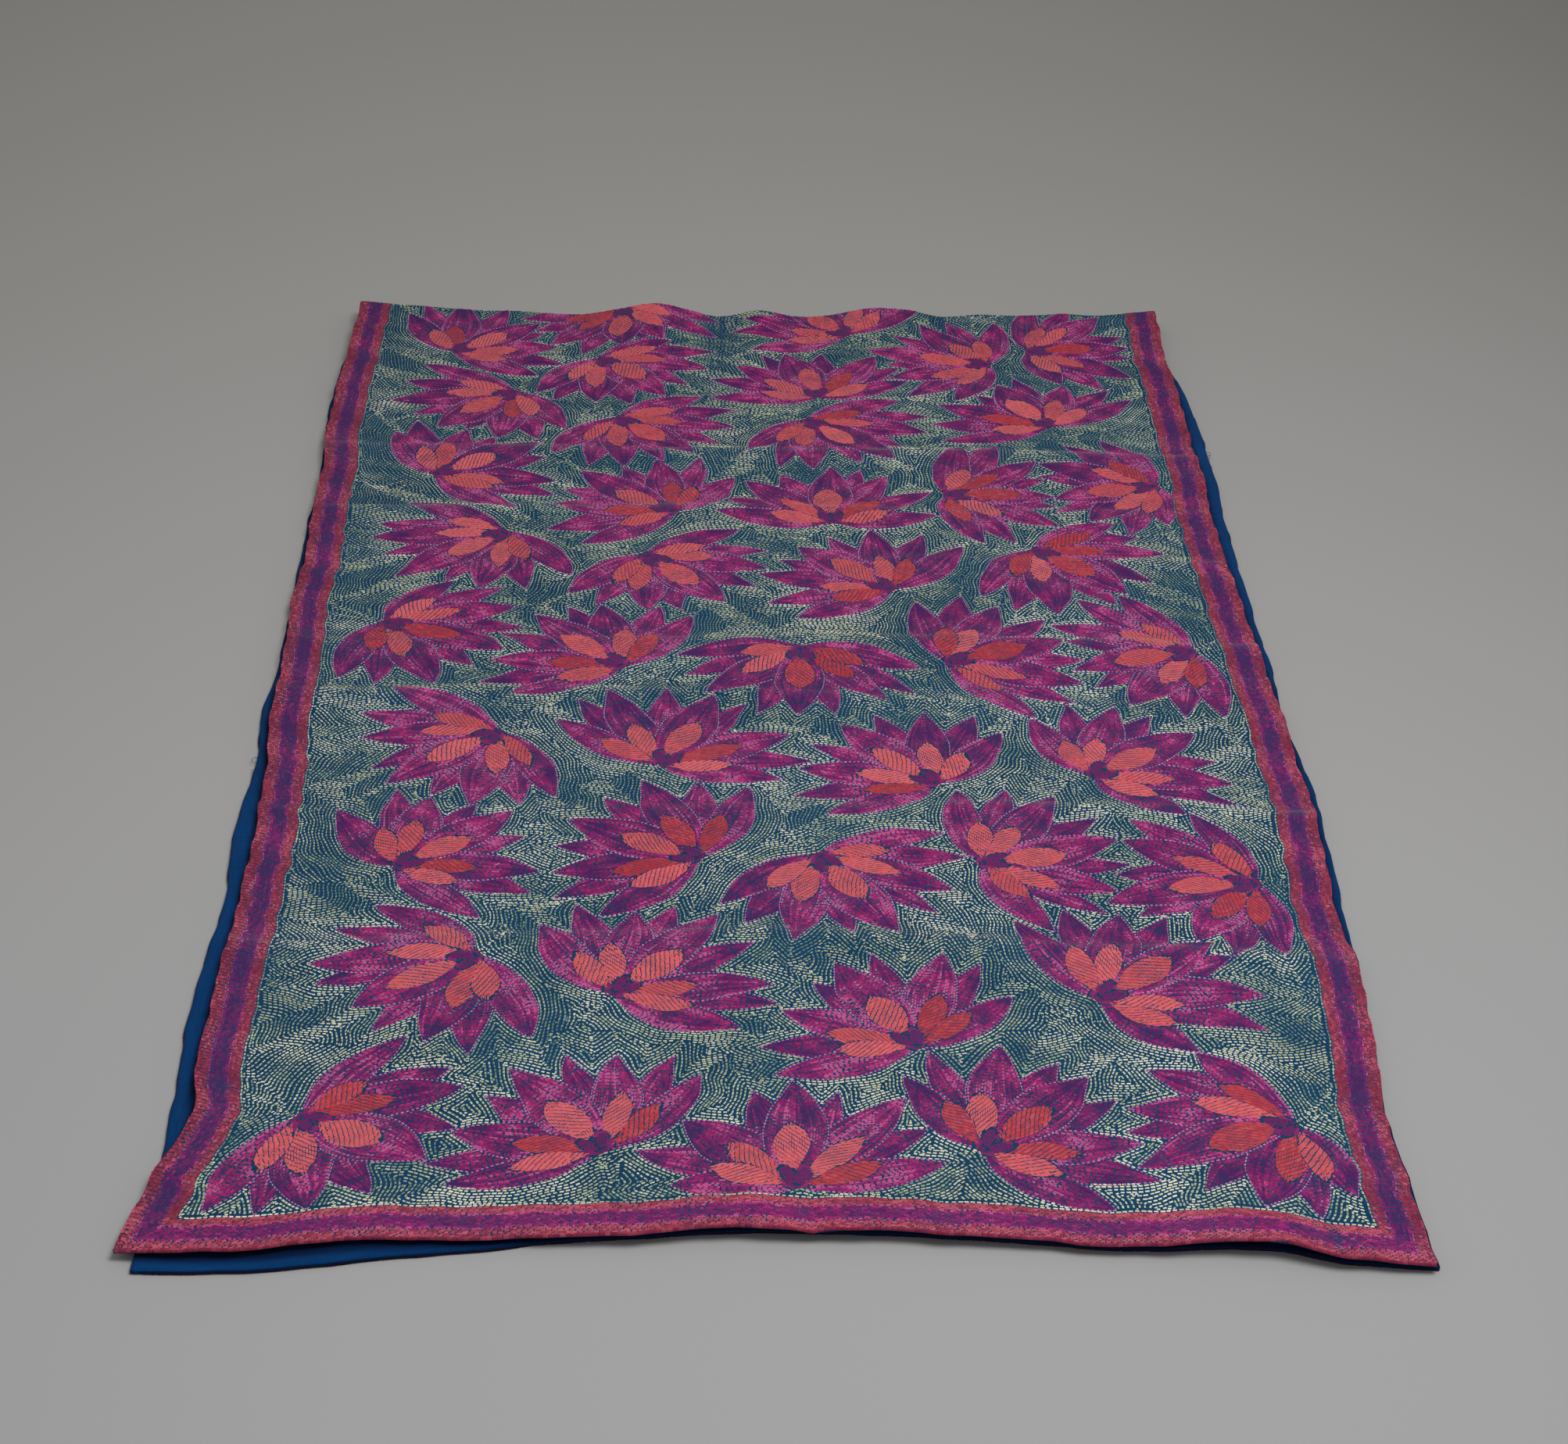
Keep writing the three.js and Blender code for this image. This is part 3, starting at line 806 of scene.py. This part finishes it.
# how each kind of petal is filled: row spacing, inset, stitch, gap, how uneven the stitches are, how far
# the rows stop short of what lies over them, and a tone of its own
FILLINGS = {
    "outer": SimpleNamespace(row=1.32, inset=0.5, stitch=2.25, gap=0.37, spread=0.2, margin=0.15),
    "lobe": SimpleNamespace(row=1.2, inset=0.0, stitch=3.2, gap=0.27, margin=0.15),
    "root": SimpleNamespace(row=1.32, inset=0.5, stitch=1.3, gap=0.2, spread=0.2, margin=-0.9, tone=0.4),
    "heart": SimpleNamespace(row=1.32, inset=0.5, stitch=1.8, gap=0.2, spread=0.1, margin=-0.1, tone=0.2)}
WIDER_UNDER = 1.3           # rows of the lower half lie further apart
OUTLINE_STITCH = 1.6
OUTLINE_GAP = 0.8
PETAL_TONE = 0.72
TIP_DEEPER = 0.40
PATCHY = 0.34

fills, outlines, lobes, lobe_skews = [], [], [], []
for lotus in lotuses:
    for number, petal in enumerate(lotus.petals):
        if petal.kind == "outer":
            for line in petal_outline(petal):
                for run in split_runs(line, uncovered(lotus, number, line, 0.5)):
                    sewn = run_stitches(run, OUTLINE_STITCH, OUTLINE_GAP, rng.uniform(0, 0.6))
                    outlines.append((sewn, rng.normal(0.4, 0.2, len(sewn))))
        filling = FILLINGS[petal.kind]
        spacing = filling.row * (WIDER_UNDER if petal.root[1] > UNDER_FROM else 1)
        for row, sewn_there in petal_rows(petal, spacing, filling.inset):
            shade = rng.normal(0, 0.17) + 0.25 * (rng.random() < 0.10)
            for run in split_runs(row, sewn_there & uncovered(lotus, number, row, filling.margin)):
                if petal.kind == "lobe":
                    sewn = slanting_stitches(petal, run, filling.stitch, filling.gap)
                    lobes.append((sewn, petal.tone + rng.normal(0, 0.12, len(sewn))))
                    lobe_skews.append(np.full(len(sewn), -petal.twill))
                    continue
                start = rng.uniform(-0.3, 0.6) if petal.kind == "outer" else 0.0
                sewn = run_stitches(run, filling.stitch, filling.gap, start, spread=filling.spread)
                out = np.linalg.norm(sewn[:, :2] - petal.root, axis=1) / petal.length
                tone = petal.tone + PETAL_TONE - TIP_DEEPER * np.clip((out - 0.4) / 0.6, 0, 1) ** 1.3
                tone += PATCHY * crossed_waves(*sewn[:, :2].T, (0.23, 0, 1), (0, 0.19, petal.lean * 3))
                tone += shade + rng.normal(0, 0.13, len(sewn))
                if petal.kind != "outer":
                    tone = filling.tone + tone * 0.15
                fills.append((sewn, tone))

magenta_cotton = stranded_cotton("magenta_cotton", [
    (0.0, (0.080, 0.009, 0.110)), (0.45, (0.24, 0.012, 0.128)), (0.85, (0.47, 0.026, 0.18)),
    (1.0, (0.57, 0.11, 0.31))])
sew("petal_stitches", fills, 1.24, 0.55, magenta_cotton, 2)
coral_cotton = stranded_cotton("coral_cotton", [
    (0.0, (0.45, 0.033, 0.050)), (0.4, (0.60, 0.078, 0.093)), (1.0, (0.74, 0.145, 0.160))])
sew("lobe_stitches", lobes, 1.25, 0.55, coral_cotton, 1, np.concatenate(lobe_skews))
lilac_cotton = stranded_cotton("lilac_cotton", [(0.0, (0.40, 0.09, 0.30)), (1.0, (0.70, 0.36, 0.60))])
sew("petal_outlines", outlines, 0.75, 0.65, lilac_cotton)

# ------------------------------------------------------------------------------------------------------
# Ground: rows of cream running stitch that echo every flower and the border, one row outside the other,
# until they meet. They quilt the face, and the blue cloth shows between them. Rows that run along the
# stole are painted duller than rows that run across it: painted sheen of the thread.
GROUND_ROW = 2.05
GROUND_FIRST = 1.3
BORDER_FIRST = 0.75
GROUND_STITCH = 2.25
GROUND_GAP = 0.5
CHART_STEP = 1.4            # the rows are charted on squares of this size
CHART_REACH = 130           # how far round a flower its chart goes
BORDER_SHARE = 1.7          # a single row follows the border
TIP_FADE = 45.0             # how soon the pointed echoes of a petal's tip turn round
STEEPEST = 0.66
GROUND_TONE = 0.88
GROUND_PATCHY = 0.26
# painted sheen: rows that run along the stole are painted this much duller
LENGTHWISE_PAINTED_DULLING = 0.45
# painted shade: the ground is painted darker towards the fold, where the light falls off
FOLD_PAINTED_SHADE = 0.36
HEM_DULLER = 0.12


def petal_room(petal, points):
    """How far points lie outside a petal. The echoes of its tip are pointed near it and round further out."""
    out, side = from_root(petal, points)
    share = np.clip(out / petal.length, 0, 1)
    side = np.abs(side - bow(petal, share))
    marks = np.linspace(0, 1, 60)
    half = half_width(petal, marks)
    slope = np.interp(share, marks, np.clip(np.gradient(half, marks * petal.length), -STEEPEST, STEEPEST))
    past = np.where(out > petal.length, out - petal.length, np.maximum(-out, 0))
    pointed = (side - np.interp(share, marks, half) + np.abs(slope) * past) / np.sqrt(1 + slope ** 2)
    round_tip = np.where((past > 0) & (side * np.abs(slope) < past), np.hypot(past, side), pointed)
    weight = np.exp(-np.maximum(pointed, 0) / TIP_FADE)
    return pointed * weight + round_tip * (1 - weight)


across_marks = np.arange(0, WIDTH + CHART_STEP, CHART_STEP)
along_marks = np.arange(0, STRIP_LENGTH + CHART_STEP, CHART_STEP)
chart_points = np.stack(np.meshgrid(across_marks, along_marks, indexing="ij"), axis=-1)
beside_border = border_room(chart_points.reshape(-1, 2)).reshape(chart_points.shape[:2])
room = beside_border.copy()
nearness = np.where(beside_border < BORDER_SHARE, 0, 1e3)
owner = np.full(room.shape, -1)
charts = []
for number, lotus in enumerate(lotuses):
    low = np.maximum(((lotus.centre - CHART_REACH) / CHART_STEP).astype(int), 0)
    high = ((lotus.centre + CHART_REACH) / CHART_STEP).astype(int)
    here = np.s_[low[0]:high[0], low[1]:high[1]]
    x, y = np.moveaxis(chart_points[here], -1, 0)
    spots = np.column_stack([x.ravel(), y.ravel()])
    nearest = np.minimum.reduce([petal_room(petal, spots) for petal in outer_petals(lotus)]).reshape(x.shape)
    wander = crossed_waves(x, y, (0.19, 0.11, number), (0.09, -0.21, 2 * number))
    charts.append((low, nearest + 1.1 * wander * np.clip(nearest / 9, 0, 1)))
    room[here] = np.minimum(room[here], nearest)
    score = np.maximum(nearest, 0) * rng.uniform(0.8, 1.25)
    closer = score < nearness[here]
    nearness[here] = np.where(closer, score, nearness[here])
    owner[here] = np.where(closer, number, owner[here])


def level_lines(chart, level):
    """The lines on which a chart has one value, each as points in order."""
    above = chart > level
    name = np.arange(chart.size).reshape(chart.shape)
    name_along = name + chart.size
    cut_across, cut_along = above[:-1] != above[1:], above[:, :-1] != above[:, 1:]
    cut = np.stack([cut_across[:, :-1], cut_along[1:], cut_across[:, 1:], cut_along[:-1]], -1)
    sides = np.stack([name[:-1, :-1], name_along[1:, :-1], name[:-1, 1:], name_along[:-1, :-1]], -1)
    twice, crossing = cut.sum(-1) == 2, cut.sum(-1) == 4
    links = [sides[twice][cut[twice]].reshape(-1, 2), sides[crossing][:, :2], sides[crossing][:, 2:]]
    neighbours = {}
    for a, b in np.concatenate(links).tolist():
        neighbours.setdefault(a, []).append(b)
        neighbours.setdefault(b, []).append(a)
    lines, used = [], set()
    for start in sorted(neighbours, key=lambda side: (len(neighbours[side]) > 1, side)):
        chain, here = [], None if start in used else start
        while here is not None:
            used.add(here)
            chain.append(here)
            here = next((side for side in neighbours[here] if side not in used), None)
        if not chain:
            continue
        if start in neighbours[chain[-1]]:
            chain.append(start)
        along = np.array(chain) >= chart.size
        i, j = np.divmod(np.array(chain) % chart.size, chart.shape[1])
        here, there = chart[i, j], chart[i + ~along, j + along]
        part = (level - here) / (there - here)
        lines.append(np.stack([i + part * ~along, j + part * along], axis=1) * CHART_STEP)
    return lines


ground_rows = []
for number, (low, chart) in [(-1, (np.array([0, 0]), beside_border)), *enumerate(charts)]:
    own = owner[low[0]:low[0] + chart.shape[0], low[1]:low[1] + chart.shape[1]] == number
    if not own.any():
        continue
    held = np.argwhere(own)
    first, last = np.maximum(held.min(0) - 2, 0), held.max(0) + 3
    part = np.s_[first[0]:last[0], first[1]:last[1]]
    first_row = BORDER_FIRST if number < 0 else GROUND_FIRST
    for level in np.arange(first_row, chart[part][own[part]].max(), GROUND_ROW):
        for line in level_lines(chart[part], level):
            line = line + (low + first) * CHART_STEP
            i, j = np.round(line / CHART_STEP).astype(int).T
            mine = owner[i, np.minimum(j, owner.shape[1] - 1)] == number
            upper = line[:, 1] < UNDER_FROM
            ground_rows += split_runs(line, mine & upper) + split_runs(line, mine & ~upper)

ground = [run_stitches(sway(row), GROUND_STITCH, GROUND_GAP, 0.0) for row in ground_rows]
ground_shades = np.concatenate([np.full(len(sewn), rng.normal(0, 0.12)) for sewn in ground])
ground = np.concatenate(ground)

# where rows meet, single stitches fill whatever bare cloth is left between them
FILL_CELL = 0.7
FILL_EDGE = 8               # cells past the far edges of the strip
FILL_STITCH = (1.3, 2.1)
wide, deep = int(WIDTH / FILL_CELL) + FILL_EDGE, int(STRIP_LENGTH / FILL_CELL) + FILL_EDGE
cells = [np.minimum((np.arange(size) * FILL_CELL / CHART_STEP).astype(int), limit - 1)
         for size, limit in zip((wide, deep), room.shape)]
bare = room[np.ix_(*cells)] > 0.9
bare[:4] = bare[-FILL_EDGE:] = bare[:, :4] = bare[:, -FILL_EDGE:] = False
disc = np.array([(i, j) for i in range(-2, 3) for j in range(-2, 3) if i * i + j * j <= 2.6])


def cover(ends):
    """Marks the cloth under and close beside stitches as no longer bare."""
    spots = ends[:, None, :2] + (ends[:, None, 2:] - ends[:, None, :2]) * np.linspace(0, 1, 6)[None, :, None]
    spots = (spots.reshape(-1, 2) / FILL_CELL + 0.5).astype(int)
    i, j = (spots[:, None] + disc[None]).reshape(-1, 2).T
    bare[np.clip(i, 0, wide - 1), np.clip(j, 0, deep - 1)] = False


cover(ground)
turns = [(math.cos(turn), math.sin(turn)) for turn in np.arange(8) * math.pi / 8]
reach = np.array([-1.3, -0.7, 0, 0.7, 1.3]) / FILL_CELL
fillers = []
for i, j in np.argwhere(bare):
    if not bare[i, j]:
        continue
    open_cells = [bare[(i + reach * x + 0.5).astype(int), (j + reach * y + 0.5).astype(int)].sum()
                  for x, y in turns]
    if max(open_cells) < 2:
        continue
    way = np.array(turns[int(np.argmax(open_cells))])
    middle, half = np.array([i, j]) * FILL_CELL, way * 0.5 * rng.uniform(*FILL_STITCH)
    fillers.append(np.concatenate([middle - half, middle + half])[None])
    cover(fillers[-1])
ground = np.concatenate([ground, *fillers])
ground_shades = np.concatenate([ground_shades, rng.normal(0, 0.1, len(fillers))])
x, y = ground[:, :2].T
way = ground[:, 2:] - ground[:, :2]
lengthwise = (way[:, 1] / np.linalg.norm(way, axis=1)) ** 2
toward_fold = np.clip(y / HALF_LENGTH, 0, 1)
toward_hem = np.clip(1 - y / 320, 0, 1)
patch = crossed_waves(x, y, (0.031, 0.023, 0), (0.017, -0.037, 2))
patch += 0.7 * crossed_waves(x, y, (0.083, -0.05, 1), (0.06, 0.09, 0))
ground_tones = GROUND_TONE + GROUND_PATCHY * patch + ground_shades
# painted sheen and painted shade: lengthwise rows and rows towards the fold are painted darker
ground_tones = ground_tones - LENGTHWISE_PAINTED_DULLING * lengthwise - FOLD_PAINTED_SHADE * toward_fold
ground_tones += rng.normal(0, 0.12, len(ground)) - HEM_DULLER * toward_hem
ground_widths = 1.08 - 0.22 * lengthwise + 0.16 * toward_hem
# the dark greenish low end of the ramp carries the painted loss of sheen on lengthwise rows
cream_cotton = stranded_cotton("cream_cotton", [
    (0.0, (0.13, 0.22, 0.16)), (0.4, (0.42, 0.48, 0.28)), (0.75, (0.66, 0.68, 0.45)),
    (1.0, (0.84, 0.83, 0.63))], (0.70, 0.68, 0.60))
sew("ground_stitches", [(ground, ground_tones)], ground_widths, 0.42, cream_cotton, 2)

# ------------------------------------------------------------------------------------------------------
# Border: two bands of close coral rows, whose stitches lean like the lay of a rope, with rows of purple and
# violet between them and one bright magenta line beside each coral band. It turns squarely at the corners.
red_cotton = stranded_cotton("coral_red_cotton", [
    (0.0, (0.20, 0.014, 0.042)), (0.5, (0.32, 0.034, 0.074)), (1.0, (0.60, 0.115, 0.17))])
# for each thread: distances of its rows from the hem, stitch, gap, width, height, finish, slant, how uneven
# the stitches are, tone, and how much brighter it is along the upper hem
BORDER_THREADS = {
    "border_coral_stitches": (
        [0.5, 1.6, 2.7, 3.8, 4.9, 16.2, 17.3, 18.3, 19.3, 20.2],
        2.4, 0.16, 1.36, 0.5, red_cotton, 0.22, 0.12, 0.5, 0.20),
    "border_purple_stitches": (
        [7.1, 14.2], 2.3, 0.16, 1.32, 0.45, magenta_cotton, 0.0, 0.12, 0.40, 0.20),
    "border_violet_stitches": (
        [8.3, 9.4, 10.6, 11.8, 13.0], 2.3, 0.16, 1.32, 0.4, magenta_cotton, 0.0, 0.12, 0.15, 0.30),
    "border_edge_lines": (
        [6.0, 15.2], 1.7, 0.35, 0.8, 0.55, magenta_cotton, 0.0, 0.3, 0.82, 0.1)}


def border_lines(inset):
    """The four sides of one row of the border, each from corner to corner, in short steps."""
    long, wide = STRIP_LENGTH - 2 * inset, WIDTH - 2 * inset
    for start, way, length in (((inset, inset), (0, 1), long), ((WIDTH - inset, inset), (0, 1), long),
                               ((inset, inset), (1, 0), wide), ((inset, STRIP_LENGTH - inset), (1, 0), wide)):
        line = np.array(start, float) + np.linspace(0, length, int(length / 3))[:, None] * np.array(way)
        for part in (line[line[:, 1] <= UNDER_FROM], line[line[:, 1] > UNDER_FROM]):
            if len(part) > 1:
                yield part


for name, thread in BORDER_THREADS.items():
    insets, stitch, gap, width, height, finish, slant, spread, level, at_hem = thread
    work = []
    for inset in insets:
        for line in border_lines(inset):
            sewn = run_stitches(sway(line), stitch, gap, -rng.uniform(0, 0.7 * stitch), slant, spread)
            x, y = sewn[:, :2].T
            hem_side = (y < BORDER) & (np.abs(x - WIDTH / 2) < WIDTH / 2 - inset - 1)
            patch = crossed_waves(x, y, (0, 0.031, 1), (0.07, 0.11, 0)) * np.where(hem_side, 0.07, 0.22)
            work.append((sewn, level + patch + at_hem * hem_side + rng.normal(0, 0.17, len(sewn))))
    sew(name, work, width, height, finish)

# coral stitches wrap over the hem of the upper half
WRAP_STEP = 2.4
WRAP_LENGTH = 2.3
WRAP_SWELL = 0.15
rim, rim_outward = round_the_edge(HEM_INSET, WRAP_STEP)
rim, rim_outward = rim[rim[:, 1] < HALF_LENGTH], rim_outward[rim[:, 1] < HALF_LENGTH]
rim_way = np.column_stack([-rim_outward[:, 1], rim_outward[:, 0]])
rim_ends = rim + rim_way * rng.normal(WRAP_LENGTH, 0.08, (len(rim), 1))
wraps = np.stack([hem_line(spots, rim_outward, turn, WRAP_SWELL) for turn in (-20, 20, 55, 90)
                  for spots in (rim, rim_ends)], axis=1)
wrap_faces = np.arange(len(rim))[:, None, None] * 8 + np.array([(0, 1, 3, 2), (2, 3, 5, 4), (4, 5, 7, 6)])
wrap_tones = np.repeat(np.clip(rng.normal(0.45, 0.15, len(rim)), 0, 1), 8)
strand = np.column_stack([np.tile([0, 2.1], len(rim) * 4), np.tile(np.arange(8) * 0.3, len(rim)),
                          np.repeat(rng.random(len(rim)) * 50, 8)])
thread_piece("hem_stitches", wraps.reshape(-1, 3), wrap_faces.reshape(-1, 4), red_cotton, tone=wrap_tones,
             worn=np.repeat(dust(*rim.T), 8), strand=strand)

# ------------------------------------------------------------------------------------------------------
# Floor and light: a pale grey floor, painted darker towards its sides, and soft light from above, a little
# to the right of the hem end, so that it falls off towards the fold.
FLOOR_HALF = 6.0
corners = FLOOR_HALF * np.array([(-1, -1, 0), (1, -1, 0), (1, 1, 0), (-1, 1, 0)])
floor = mesh_piece("floor", corners, np.arange(4)[None])
paper, tree, shader = new_finish("grey_paper", roughness=0.85, sheen=0.0, sheen_roughness=0.5, specular=0.2)
# the floor is painted darker towards its sides and palest a little to the left, against the lamp on the
# right: painted shade; it is also warmer towards the back
x, y, _ = parted(tree, add_node(tree, "ShaderNodeTexCoord").outputs["Object"])
aside = arithmetic(tree, "POWER", arithmetic(tree, "ADD", x, 0.2), 2.0)
tone = arithmetic(tree, "MAXIMUM", arithmetic(tree, "MULTIPLY_ADD", aside, -0.105, 0.340), 0.22)
warmth = arithmetic(tree, "MAXIMUM", arithmetic(tree, "MULTIPLY_ADD", y, -0.04, 0.985), 0.90)
green, blue = (arithmetic(tree, "MULTIPLY", tone, share) for share in (0.99, warmth))
tree.links.new(mixed(tree, tone, green, blue), shader.inputs["Base Color"])
floor.data.materials.append(paper)

world = bpy.data.worlds.new("studio")
scene.world = world
world.use_nodes = True
sky = world.node_tree.nodes["Background"]
sky.inputs["Color"].default_value = (1.0, 0.99, 0.97, 1)
sky.inputs["Strength"].default_value = 0.42

LAMP_PLACE = Vector((0.5, -0.55, 1.6))
LAMP_AIM = Vector((0, -0.3, 0))
lamp_data = bpy.data.lights.new("overhead_right", "AREA")
lamp_data.shape = "DISK"
lamp_data.size = 0.9        # metres across
lamp_data.energy = 21
lamp = bpy.data.objects.new("overhead_right", lamp_data)
lamp.location = LAMP_PLACE
lamp.rotation_euler = (LAMP_AIM - LAMP_PLACE).to_track_quat("-Z", "Y").to_euler()
scene.collection.objects.link(lamp)

# ------------------------------------------------------------------------------------------------------
# Camera: at the hem end, looking down along the stole at about thirty degrees.
CAMERA_PLACE = Vector((-0.03118, -1.52700, 0.86803))
CAMERA_PITCH = math.radians(30.408)
CAMERA_YAW = math.radians(1.477)
CAMERA_ROLL = math.radians(1.220)
camera_data = bpy.data.cameras.new("camera")
camera_data.lens = 71.187
camera_data.sensor_width = 36
camera_data.clip_start = 0.05
camera = bpy.data.objects.new("camera", camera_data)
facing = Matrix.Rotation(-CAMERA_YAW, 4, "Z") @ Matrix.Rotation(math.pi / 2 - CAMERA_PITCH, 4, "X")
camera.matrix_world = Matrix.Translation(CAMERA_PLACE) @ facing @ Matrix.Rotation(CAMERA_ROLL, 4, "Z")
scene.collection.objects.link(camera)
scene.camera = camera
